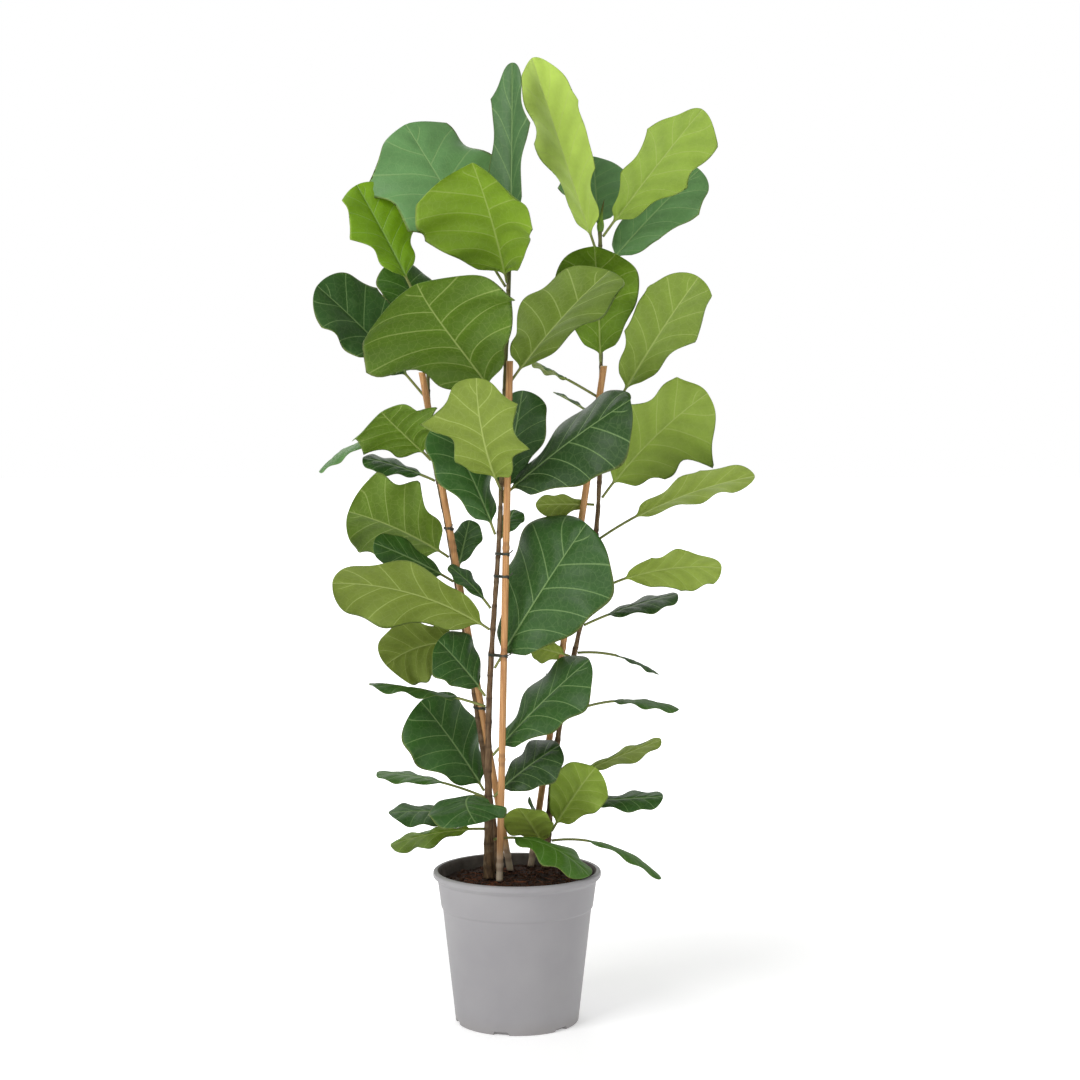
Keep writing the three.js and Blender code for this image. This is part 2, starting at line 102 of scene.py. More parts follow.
LEAVES = {
    "front": [
        dict(bearing=-25, rise=15, droop=60, stalk=30, length=130, width=95, youth=0.4),
        dict(bearing=-160, rise=5, droop=20, roll=-30,
             stalk=20, length=120, width=90, youth=0.6, fresh=0.8, painted_light_and_tone=0.8, lobed=0.4),
        dict(bearing=5, rise=45, droop=15, roll=-30, stalk=15, length=105, width=100, painted_light_and_tone=0.65),
        dict(bearing=-140, rise=20, droop=60, sweep=90, stalk=25, length=90, width=115, painted_light_and_tone=1.1),
        dict(bearing=-5, rise=50, roll=-35, stalk=15, length=180, width=125),
        dict(bearing=-170, rise=20, droop=15, stalk=40, length=130, width=80, youth=0.2),
        dict(bearing=-170, rise=55, roll=50, fold=10, stalk=15, length=90, width=100),
        dict(bearing=-10, rise=60, droop=5, roll=-60, stalk=20, length=225, width=190),
        dict(bearing=-165, rise=35, droop=35, roll=-45,
             stalk=10, length=230, width=135, youth=0.4, painted_light_and_tone=0.9),
        dict(bearing=175, rise=55, droop=20, roll=20, fold=10, stalk=15, length=70, width=50),
        dict(bearing=175, rise=70, roll=40, stalk=15, length=165, width=110, painted_light_and_tone=1.2),
        dict(bearing=60, rise=70, droop=0, stalk=20, length=150, width=95),
        dict(bearing=-25, rise=40, roll=-70, fold=-10, skew=15,
             stalk=15, length=220, width=150, painted_light_and_tone=0.65),
        dict(bearing=-100, rise=20, droop=-70, sweep=-20,
             stalk=35, length=165, width=135, youth=0.4, lobed=1.3),
        dict(bearing=-160, rise=55, droop=30, sweep=60, roll=-25, curl=-25,
             stalk=30, length=220, width=240, youth=0.5, fresh=0.9, painted_light_and_tone=0.8, lobed=0.3),
        dict(bearing=-35, rise=50, droop=15, roll=30, fold=15, skew=-25,
             stalk=30, length=200, width=180, youth=0.5, fresh=0.5, painted_light_and_tone=0.85),
        dict(bearing=70, rise=85, droop=-5, roll=20, fold=25,
             stalk=50, length=280, width=70, grey=0.5, lobed=1.4, painted_light_and_tone=0.75),
        dict(bearing=150, rise=55, droop=0, roll=40,
             stalk=60, length=230, width=190, youth=0.35, grey=0.8, lobed=1),
        dict(bearing=-115, rise=65, droop=20, fold=-20, curl=-25,
             stalk=10, length=180, width=210, youth=0.8, fresh=0.9, painted_light_and_tone=0.9, lobed=0.4),
    ],
    "left": [
        dict(bearing=-165, rise=20, droop=25, roll=15, stalk=40, length=110, width=75),
        dict(bearing=165, rise=20, droop=20, roll=10, stalk=65, length=105, width=50, youth=0.3),
        dict(bearing=180, rise=60, roll=50, stalk=10, length=150, width=135, painted_light_and_tone=1.15),
        dict(bearing=-175, rise=10, droop=50, roll=-60,
             stalk=10, length=110, width=120, youth=0.5, painted_light_and_tone=0.8),
        dict(bearing=-150, rise=30, roll=65, stalk=20, length=120, width=60, youth=0.2),
        dict(bearing=60, rise=65, droop=0, stalk=15, length=70, width=50),
        dict(bearing=-170, rise=35, droop=20, roll=-55, fold=20,
             stalk=15, length=145, width=155, youth=0.5, fresh=0.7, lobed=0.6, painted_light_and_tone=0.85),
        dict(bearing=175, rise=25, droop=15, roll=25, stalk=20, length=90, width=55),
        dict(bearing=-160, rise=45, droop=20, sweep=50, roll=-30,
             stalk=15, length=105, width=130, youth=0.5, fresh=0.8, lobed=0.8),
        dict(bearing=175, rise=20, droop=70, roll=15,
             stalk=65, length=110, width=55, youth=0.3, grey=0.5),
        dict(bearing=-165, rise=50, roll=55, fold=20, stalk=40, length=180, width=135, lobed=0.5),
        dict(bearing=120, rise=60, droop=0, stalk=20, length=130, width=95, youth=0.3, painted_light_and_tone=0.9),
        dict(bearing=180, rise=65, droop=5, roll=55, fold=20,
             stalk=60, length=150, width=110, youth=0.85, lobed=1),
    ],
    "right": [
        dict(bearing=-10, rise=10, droop=55, stalk=50, length=125, width=45, youth=0.35),
        dict(bearing=-115, rise=45, roll=-15, stalk=15, length=100, width=75, youth=0.6),
        dict(bearing=-45, rise=55, roll=55, stalk=15, length=120, width=85, youth=0.6, fresh=0.3),
        dict(bearing=-10, rise=5, droop=0, roll=-20, stalk=55, length=105, width=60),
        dict(bearing=0, rise=25, droop=5, roll=30, stalk=45, length=120, width=65, youth=0.4),
        dict(bearing=-145, rise=50, sweep=-80, stalk=15, length=50, width=40),
        dict(bearing=0, rise=25, droop=45, roll=-5, stalk=70, length=100, width=55, youth=0.3),
        dict(bearing=0, rise=5, droop=40, stalk=55, length=70, width=40),
        dict(bearing=5, rise=25, droop=15, roll=-15, stalk=35, length=110, width=65, painted_light_and_tone=0.8),
        dict(bearing=-15, rise=30, droop=35, roll=40,
             stalk=55, length=145, width=100, youth=0.55, lobed=0.6),
        dict(bearing=-10, rise=35, droop=25, roll=30, fold=15,
             stalk=60, length=185, width=90, youth=0.5, lobed=0.6),
        dict(bearing=-5, rise=55, droop=20, roll=55, curl=-30,
             stalk=25, length=190, width=165, youth=0.6, fresh=0.2, lobed=1.2),
        dict(bearing=-30, rise=60, roll=35, fold=15,
             stalk=65, length=195, width=115, youth=0.6, fresh=0.4, painted_light_and_tone=0.85, lobed=0.6),
        dict(bearing=170, rise=35, fold=15, stalk=10, length=65, width=40, youth=0.3),
        dict(bearing=-165, rise=30, droop=5, stalk=50, length=60, width=50, youth=0.4),
        dict(bearing=-100, rise=80, droop=25,
             stalk=10, length=165, width=125, youth=0.65, fresh=1, painted_light_and_tone=0.9),
        dict(bearing=20, rise=50, roll=-45, fold=10,
             stalk=25, length=190, width=105, youth=0.3, grey=0.6, lobed=0.4),
        dict(bearing=-160, rise=70, droop=0, roll=-15, fold=15,
             stalk=25, length=265, width=130, youth=0.8, lobed=1, painted_light_and_tone=1.1),
        dict(bearing=95, rise=60, droop=0,
             stalk=35, length=120, width=105, youth=0.3, grey=0.9, lobed=0.5),
        dict(bearing=-30, rise=50, droop=5, roll=25, curl=-25,
             stalk=25, length=205, width=125, youth=0.85, fresh=0.5, lobed=0.6, painted_light_and_tone=0.85),
    ],
}
# Small or hidden leaves that the frame has no node for: their stem, the height of their node and
# the way they grow.
SMALL_LEAVES = {
    "tucked_leaf_a": ("right", 515, dict(bearing=-175, rise=20, roll=-60, stalk=8, length=50,
                                         width=45, youth=0.5)),
    "tucked_leaf_b": ("right", 735, dict(bearing=-178, rise=5, roll=-50, stalk=10, length=75,
                                         width=45, youth=0.4)),
    "tucked_leaf_c": ("front", 690, dict(bearing=60, rise=50, stalk=5, length=50, width=45)),
    "tucked_leaf_d": ("left", 930, dict(bearing=170, rise=60, roll=40, stalk=20, length=65, width=45)),
    "tucked_leaf_e": ("right", 250, dict(bearing=-155, rise=75, roll=30, stalk=5, length=60, width=35)),
}

# ---- Pot, soil, stems and canes, in millimetres unless they are shares ----
POT_SEGMENTS = 288
COLLAR_TOP_SHARE = 0.945
COLLAR_FOOT_SHARE = 0.902
COLLAR_FOOT_HEIGHT = 0.756
BODY_TOP_SHARE = 0.885
BASE_SHARE = 0.733
RIM_DEPTH = 11
POT_WALL = 2.6
POT_FLOOR = 4
CORNER_CUT = 1.6
CORNER_POINTS = 6
PROFILE_STEP = 4
DRAIN_NOTCHES = 6
NOTCH_WIDTH = 22
NOTCH_HEIGHT = 5
NOTCH_DEPTH = 7
NOTCH_START = math.radians(-105)
SOIL_SEGMENTS = 160
SOIL_RINGS = 60
SOIL_ROUGHNESS = 1.6
SOIL_EDGE = (70, 108)
SOIL_EDGE_DROP = 2.2
CRUMBS = 520
CRUMB_SIZES = (1.2, 4.2)
FIBRES = 90
FIBRE_LENGTHS = (12, 38)
FIBRE_RADIUS = 0.45
STEM_STEP = 2.5
STEM_SIDES = 20
NODE_SPACING = 34
NODE_HALF_WIDTH = 2.2
NODE_SWELL = 0.55
BARK_RELIEF = 0.35
CANE_STEP = 3
CANE_SIDES = 28
BAMBOO_SPACING = 150
JOINT_HALF_WIDTH = 3
JOINT_SWELL = 0.55
GROOVE_BELOW = 6
GROOVE_DEPTH = 0.3
# The cut top of a cane: shares of its radius, and millimetres above the cut.
CANE_LIP = np.array([[1.0, 0], [0.9, 0.0], [0.55, -0.3], [0.5, -2], [0.45, -7]])
TIES = {"front": (522, 634, 666), "left": (440, 700), "right": (480, 690)}
WIRE_RADIUS = 0.9
WIRE_CLEARANCE = 1.2
WIRE_PITCH = 2.1
WIRE_END = (12, 5)
WIRE_SIDES = 8
TIP_LEAN = np.array([0.12, -0.08])
TIP_SHEATHS = {"front": 32, "left": 26, "right": 46}

# ---- Floor, lights and camera, in metres ----
FLOOR_HALF_WIDTH = 30
FLOOR_GLOW = 150
AMBIENT = 0.50
CAMERA_PLACE = (0.0, -2.97, 0.851)
CAMERA_DOWN = math.radians(3.15)
CAMERA_RIGHT = math.radians(0.63)
LENS = 70
LIGHTS = {
    "key": dict(place=(-2.3, -2.5, 2.9), aim=(0, 0, 0.7), size=2.0, energy=84),
    "fill": dict(place=(2.8, -1.8, 1.4), aim=(0, 0, 0.6), size=2.4, energy=4),
    "back": dict(place=(-0.6, 2.6, 2.6), aim=(0, 0, 0.8), size=2.2, energy=22),
}

# ---- Colours, as red, green and blue out of 255 ----
OLD_UPPER, MIDDLE_UPPER, NEW_UPPER = (26, 62, 30), (66, 108, 22), (112, 152, 14)
OLD_UNDER, MIDDLE_UNDER, NEW_UNDER = (78, 98, 42), (114, 132, 42), (168, 194, 84)
FRESH_UNDER, FRESHEST_UNDER = (78, 112, 4), (116, 150, 16)
GREY_LEAF = (102, 146, 90)
# Where most of a noise's values lie, how strongly veins are painted, and how much less on new leaves.
NOISE_SPAN = (0.3, 0.7)
VEIN_PAINT = 0.56
VEIN_PAINT_LOST = 0.2
LEAF_RELIEF = 0.55


def linear(colour):
    """A colour out of 255 in the display's own curve, as the linear values that light works in."""
    shares = [channel / 255 for channel in colour]
    return tuple(s / 12.92 if s < 0.04045 else ((s + 0.055) / 1.055) ** 2.4 for s in shares) + (1.0,)


# ---- Finishes ----
class Value:
    """A socket that gives a number, so that sums and products of it read as plain arithmetic."""

    def __init__(self, finish, socket):
        self.finish = finish
        self.socket = socket

    def through(self, operation, first, second):
        sockets = {0: first, 1: second}
        return self.finish.add("ShaderNodeMath", "Value", {"operation": operation}, sockets)

    def __add__(self, other):
        return self.through("ADD", self, other)

    def __sub__(self, other):
        return self.through("SUBTRACT", self, other)

    def __rsub__(self, other):
        return self.through("SUBTRACT", other, self)

    def __mul__(self, other):
        return self.through("MULTIPLY", self, other)

    __radd__ = __add__
    __rmul__ = __mul__


class Finish:
    """A material of one name: a Principled shader and the nodes that feed it."""

    def __init__(self, name, **constants):
        self.material = bpy.data.materials.new(name)
        self.material.use_nodes = True
        self.tree = self.material.node_tree
        self.shader = self.tree.nodes["Principled BSDF"]
        for socket, value in constants.items():
            self.shader.inputs[socket.replace("_", " ")].default_value = value

    def add(self, kind, gives, settings=(), sockets=()):
        """Any node: its settings first, then what its sockets hold, and the output that is wanted."""
        node = self.tree.nodes.new(kind)
        for setting, value in dict(settings).items():
            if setting == "stops":
                self.set_stops(node.color_ramp.elements, value)
            else:
                setattr(node, setting, value)
        for socket, value in dict(sockets).items():
            self.join(value, node.inputs[socket])
        return Value(self, node.outputs[gives])

    def set_stops(self, elements, stops):
        for place, (position, colour) in enumerate(stops):
            element = elements[place] if place < 2 else elements.new(position)
            element.position = position
            element.color = linear(colour)

    def join(self, value, socket):
        if isinstance(value, Value):
            self.tree.links.new(value.socket, socket)
        else:
            socket.default_value = value

    def feed(self, **values):
        for socket, value in values.items():
            self.join(value, self.shader.inputs[socket.replace("_", " ")])
        return self.material

    def mark(self, name):
        """The three numbers that a piece's points carry under a name."""
        vector = self.add("ShaderNodeAttribute", "Vector", {"attribute_name": name})
        return self.split(vector)

    def split(self, vector):
        return [self.add("ShaderNodeSeparateXYZ", axis, (), {0: vector}) for axis in "XYZ"]

    def place(self):
        return self.add("ShaderNodeTexCoord", "Object")

    def stretched(self, factors):
        settings = {"operation": "MULTIPLY"}
        return self.add("ShaderNodeVectorMath", 0, settings, {0: self.place(), 1: factors})

    def noise(self, scale, detail=3, where=None):
        sockets = {"Vector": where or self.place(), "Scale": scale, "Detail": detail}
        return self.add("ShaderNodeTexNoise", 0, (), sockets)

    def cells(self, scale):
        """How far a point is from the nearest wall of a random cell pattern."""
        settings = {"feature": "DISTANCE_TO_EDGE"}
        return self.add("ShaderNodeTexVoronoi", 0, settings, {"Vector": self.place(), "Scale": scale})

    def step(self, value, low, high):
        """0 below low and 1 above high, with a smooth rise between."""
        sockets = {"Value": value, "From Min": low, "From Max": high}
        return self.add("ShaderNodeMapRange", 0, {"interpolation_type": "SMOOTHSTEP"}, sockets)

    def ramp(self, value, *stops):
        return self.add("ShaderNodeValToRGB", 0, {"stops": stops}, {0: value})

    def blend(self, value, first, second):
        """From one colour to another over the middle of a noise."""
        low, high = NOISE_SPAN
        return self.ramp(value, (low, first), (high, second))

    def mix(self, share, first, second):
        settings = {"data_type": "RGBA"}
        sockets = {0: share, 6: self.paint(first), 7: self.paint(second)}
        return self.add("ShaderNodeMix", 2, settings, sockets)

    def paint(self, colour):
        return colour if isinstance(colour, Value) else linear(colour)

    def shaded(self, brightness, colour):
        sockets = {"Value": brightness, "Color": colour}
        return self.add("ShaderNodeHueSaturation", 0, (), sockets)

    def bump(self, height, depth):
        """A normal bent by a height, where a height of 1 stands depth millimetres proud."""
        sockets = {"Strength": 1.0, "Distance": depth * MM, "Height": height}
        return self.add("ShaderNodeBump", 0, (), sockets)


def leaf_finish(name):
    """Leathery fig leaf: dark glossy upper side, paler matt underside, and the veins of both."""
    finish = Finish(name, Specular_IOR_Level=0.3)
    along, beside, across = finish.mark("place")
    upper, youth, grey = finish.mark("look")
    # The second of these numbers is each leaf's brightness: partly its own tone, partly painted shade
    # below 1 and painted light above 1.
    fresh, brightness, _ = finish.mark("tint_and_painted_light")
    out = finish.add("ShaderNodeMath", 0, {"operation": "ABSOLUTE"}, {0: beside})
    hand = finish.add("ShaderNodeMath", 0, {"operation": "SIGN"}, {0: beside})
    phase = (along - out * VEIN_REACH + out * out * VEIN_BEND) * VEIN_PAIRS + hand * VEIN_STAGGER
    nearest = finish.add("ShaderNodeMath", 0, {"operation": "PINGPONG"}, {0: phase, 1: 0.5})
    in_blade = finish.step(along, 0.03, 0.09) * (1 - finish.step(along, 0.93, 0.98))
    lateral = (1 - finish.step(nearest + out * 0.015, 0.012, 0.05)) * in_blade
    from_middle = finish.add("ShaderNodeMath", 0, {"operation": "ABSOLUTE"}, {0: across})
    midrib = 1 - finish.step(from_middle + along * 0.9, 0.8, 2.3)
    big_veins = finish.add("ShaderNodeMath", 0, {"operation": "MAXIMUM"}, {0: midrib, 1: lateral * 0.75})
    web = (1 - finish.step(finish.cells(95), 0.0, 0.09)) * in_blade
    fine_web = 1 - finish.step(finish.cells(330), 0.0, 0.12)

    top = finish.ramp(youth, (0.0, OLD_UPPER), (0.85, NEW_UPPER), (0.45, MIDDLE_UPPER))
    below = finish.ramp(youth, (0.0, OLD_UNDER), (0.85, NEW_UNDER), (0.45, MIDDLE_UNDER))
    below = finish.mix(fresh, below, finish.ramp(youth, (0.5, FRESH_UNDER), (0.85, FRESHEST_UNDER)))
    top = finish.mix(grey, top, GREY_LEAF)
    blade = finish.mix(upper, below, top)
    vein_colour = finish.mix(upper, (176, 190, 112), (146, 176, 112))
    mottle = finish.noise(22, 4) * 0.34 + finish.noise(160, 3) * 0.16
    between = finish.step(nearest, 0.05, 0.5) * 0.10
    # Painted shade and painted light: the blade colour is scaled by each leaf's brightness number, on
    # top of its own mottled tone.
    blade = finish.shaded((mottle - between + 0.78) * brightness, blade)
    blade = finish.mix(web * 0.07 + fine_web * 0.03, blade, vein_colour)
    blade = finish.mix(big_veins * (VEIN_PAINT - youth * VEIN_PAINT_LOST), blade, vein_colour)
    blade = finish.mix(finish.step(out, 0.955, 1.0) * 0.45, blade, (150, 160, 90))
    stalk = finish.mix(finish.noise(120), (112, 128, 62), (140, 140, 84))
    colour = finish.mix(finish.step(along, 0.004, 0.05), stalk, blade)

    roughness = 0.56 - upper * 0.17 + finish.noise(60) * 0.12 - youth * 0.03
    raised = big_veins * (0.5 - upper) * 1.2 + web * 0.16 + fine_web * 0.08 + finish.noise(420, 2) * 0.22
    return finish.feed(Base_Color=colour, Roughness=roughness, Normal=finish.bump(raised, LEAF_RELIEF))


def pot_finish():
    """Moulded grey plastic with a fine grain and faint turning lines, and painted shade inside: the
    inner wall and floor are painted dark with a noise mottle.
    """
    finish = Finish("nursery_plastic", Specular_IOR_Level=0.45)
    inside, low, _ = finish.mark("place")
    cloud = finish.noise(9, 5)
    grain = finish.noise(1500, 2)
    lines = finish.noise(5, 2, finish.stretched((1, 1, 90)))
    outer = finish.blend(cloud, (146, 144, 147), (157, 155, 157))
    outer = finish.mix(low * finish.noise(30, 5) * 0.5, outer, (142, 136, 128))
    # Painted shade: everything inside the rim is painted dark, mottled by a noise, to stand for the
    # shade in the pot's hollow.
    painted_inside_shade = finish.blend(finish.noise(45, 5), (58, 50, 44), (104, 98, 94))
    colour = finish.mix(inside, outer, painted_inside_shade)
    roughness = 0.42 + cloud * 0.14 + inside * 0.25
    normal = finish.bump(grain * 0.4 + lines * 0.5, 0.12)
    return finish.feed(Base_Color=colour, Roughness=roughness, Normal=normal)


def soil_finish(name, light, dark):
    """Moist potting soil: dark crumbs with paler and redder bits."""
    finish = Finish(name, Specular_IOR_Level=0.25)
    bits = finish.noise(260, 6)
    colour = finish.ramp(finish.noise(70, 6), (0.32, dark), (0.68, light))
    colour = finish.mix(finish.step(bits, 0.62, 0.72) * 0.7, colour, (122, 74, 48))
    roughness = 0.78 + bits * 0.2
    return finish.feed(Base_Color=colour, Roughness=roughness, Normal=finish.bump(bits, 1.4))


def bark_finish():
    """Fig bark: brown and cracked at the foot, greyer above and green at the growing end."""
    finish = Finish("fig_bark", Specular_IOR_Level=0.3)
    height, ring, _ = finish.mark("place")
    streaks = finish.noise(1, 5, finish.stretched((420, 420, 60)))
    patches = finish.noise(48, 4)
    old = finish.blend(streaks, (74, 54, 38), (128, 104, 76))
    green = finish.blend(streaks, (86, 88, 48), (112, 116, 66))
    colour = finish.mix(finish.step(height + patches * 0.2, 0.62, 1.05), old, green)
    colour = finish.mix(finish.step(patches, 0.55, 0.7) * 0.45, colour, (150, 136, 112))
    colour = finish.mix(ring * 0.6, colour, (58, 42, 30))
    normal = finish.bump(streaks * 0.8 + patches * 0.5, 0.9)
    return finish.feed(Base_Color=colour, Roughness=0.72 + patches * 0.2, Normal=normal)


def bamboo_finish():
    """Bamboo: tan with long pale streaks, darker at each joint and bleached at the foot."""
    finish = Finish("bamboo", Specular_IOR_Level=0.4)
    height, joint, cut = finish.mark("place")
    streaks = finish.noise(1, 4, finish.stretched((700, 700, 14)))
    patches = finish.noise(30, 4)
    colour = finish.blend(streaks, (162, 110, 66), (208, 160, 104))
    colour = finish.mix(finish.step(patches, 0.5, 0.72) * 0.5, colour, (150, 100, 60))
    colour = finish.mix((1 - finish.step(height, 0.02, 0.07)) * 0.75, colour, (214, 204, 184))
    colour = finish.mix(joint * 0.7, colour, (112, 74, 44))
    colour = finish.mix(cut, colour, (226, 204, 160))
    normal = finish.bump(streaks * 0.5 + patches * 0.2, 0.35)
    return finish.feed(Base_Color=colour, Roughness=0.4 + patches * 0.25, Normal=normal)


def sheath_finish():
    """The papery sheath round a growing tip: red-brown edges on pale green."""
    finish = Finish("growing_tip", Specular_IOR_Level=0.4)
    height, _, _ = finish.mark("place")
    streaks = finish.noise(1, 4, finish.stretched((500, 500, 40)))
    colour = finish.blend(streaks, (70, 110, 36), (140, 176, 58))
    colour = finish.mix(finish.step(height + streaks * 0.5, 0.65, 1.1) * 0.8, colour, (92, 60, 36))
    normal = finish.bump(streaks, 0.3)
    return finish.feed(Base_Color=colour, Roughness=0.42 + streaks * 0.2, Normal=normal)


def wire_finish():
    """Dark plastic-coated wire."""
    finish = Finish("tie_wire")
    wear = finish.noise(300, 4)
    colour = finish.blend(wear, (34, 40, 34), (66, 70, 58))
    return finish.feed(Base_Color=colour, Roughness=0.45 + wear * 0.2, Normal=finish.bump(wear, 0.1))


def floor_finish():
    """Plain pale studio floor that brightens to the white of the surroundings away from the middle."""
    finish = Finish("studio_floor", Roughness=0.95, Emission_Strength=1.0, Specular_IOR_Level=0.1)
    far = finish.add("ShaderNodeVectorMath", "Value", {"operation": "LENGTH"}, {0: finish.place()})
    glow = finish.mix(finish.step(far, 0.45, 1.6), (FLOOR_GLOW,) * 3, (255, 255, 255))
    paint = finish.blend(finish.noise(2, 2), (249, 249, 249), (251, 251, 251))
    return finish.feed(Base_Color=paint, Emission_Color=glow)


# ---- Making a piece ----
def make_piece(name, points, material, marks=None, loop=False, stands_for=()):
    """A closed skin over a grid of points. Each row is a ring and follows the one before; the end
    rings are closed to their middles, or the last row joins the first where the piece is a loop.
    marks gives three numbers to every point of the grid under a name."""
    rows, ring = points.shape[:2]
    corner = np.arange(rows * ring).reshape(rows, ring)
    beside = np.roll(corner, -1, axis=1)
    ahead, diagonal = np.roll(corner, -1, axis=0), np.roll(beside, -1, axis=0)
    faces = np.stack([corner, beside, diagonal, ahead], -1)
    verts = points.reshape(-1, 3)
    values = {key: value.reshape(-1, 3) for key, value in (marks or {}).items()}
    faces = (faces if loop else faces[:-1]).reshape(-1, 4)
    polygons = faces.tolist()
    if not loop:
        first, last = rows * ring, rows * ring + 1
        verts = np.concatenate([verts, [points[0].mean(0), points[-1].mean(0)]])
        values = {
            key: np.concatenate([value, [value[:ring].mean(0), value[-ring:].mean(0)]])
            for key, value in values.items()
        }
        foot_ends = np.stack([np.full(ring, first), beside[0], corner[0]], -1)
        top_ends = np.stack([np.full(ring, last), corner[-1], beside[-1]], -1)
        ends = np.concatenate([foot_ends, top_ends])
        polygons += ends.tolist()
    if enclosed(verts, faces, *([] if loop else [ends])) < 0:
        polygons = [polygon[::-1] for polygon in polygons]
    return finished(name, verts, polygons, material, values, stands_for)


def enclosed(verts, *groups):
    """Six times the volume inside a closed skin: each face is fanned into triangles from its first
    corner, and their triple products are added up. It is below nought if the faces point inwards."""
    total = 0
    for faces in groups:
        for second in range(1, faces.shape[1] - 1):
            a, b, c = (verts[faces[:, corner]] for corner in (0, second, second + 1))
            total += (a * np.cross(b, c)).sum()
    return total


def finished(name, verts, polygons, material, values, stands_for=()):
    """The mesh object with its material, its marks and its place in the frame."""
    mesh = bpy.data.meshes.new(name)
    mesh.from_pydata(verts, [], polygons)
    mesh.materials.append(material)
    mesh.polygons.foreach_set("use_smooth", np.ones(len(mesh.polygons), bool))
    for key, value in values.items():
        layer = mesh.attributes.new(key, "FLOAT_VECTOR", "POINT")
        layer.data.foreach_set("vector", value.astype(np.float32).ravel())
    mesh.update()
    made = bpy.data.objects.new(name, mesh)
    bpy.context.scene.collection.objects.link(made)
    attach(made, "root")
    if stands_for:
        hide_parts(*stands_for)
    return made


def smooth(value, low=0.0, high=1.0):
    """0 below low, 1 above high and three squares less two cubes of the share between."""
    share = np.clip((value - low) / (high - low), 0, 1)
    return share * share * (3 - 2 * share)


def marked(first, second=0.0, third=0.0):
    """Three arrays or numbers side by side, for the marks of a piece."""
    return np.stack(np.broadcast_arrays(first, second, third), -1).astype(float)


def wander(x, y, seed, waves, longest, shortest):
    """A soft random surface over x and y: plane waves of random bearing and length, added up and
    weighted by their length."""
    chance = np.random.default_rng(seed)
    length = np.geomspace(longest, shortest, waves)
    bearing, phase = chance.uniform(0, 2 * np.pi, (2, waves))
    run = x[..., None] * np.cos(bearing) + y[..., None] * np.sin(bearing)
    weight = (length / longest) ** 0.7
    return (np.sin(2 * np.pi * run / length + phase) * weight).sum(-1) / np.sqrt((weight**2).sum())


# ---- Leaves ----
def direction(bearing, rise):
    """The unit vector at a bearing from +X towards +Y and a rise above the floor."""
    bearing, rise = np.broadcast_arrays(bearing, rise)
    flat = np.cos(rise)
    return np.stack([np.cos(bearing) * flat, np.sin(bearing) * flat, np.sin(rise)], -1)


def outline(t):
    """Half width of the blade as a share of its widest: two rounded ends that meet where it is
    widest, with a waist nearer the stalk."""
    tipward = t > WIDEST
    away = np.abs(t - WIDEST) / np.where(tipward, 1 - WIDEST, WIDEST)
    inner = np.where(tipward, TIP_ROUNDING[0], BASE_ROUNDING[0])
    outer = np.where(tipward, TIP_ROUNDING[1], BASE_ROUNDING[1])
    waist = np.exp(-(((t - WAIST_AT) / WAIST_SPREAD) ** 2))
    return np.clip(1 - away**inner, 0, 1) ** outer * (1 - WAIST_DEPTH * waist)


def vein_phase(t, side):
    """A number that is whole on every side vein: veins leave the midrib in turn on its two sides
    and run towards the tip as they near the margin."""
    out = np.abs(side)
    return (t - VEIN_REACH * out + VEIN_BEND * out**2) * VEIN_PAIRS + VEIN_STAGGER * np.sign(side)


def waves(pattern, t, index, hand):
    """Waves passed along a blade, moved on by the leaf's number and by its side."""
    along, by_leaf, by_side = pattern
    return along * t + by_leaf * index + by_side * hand


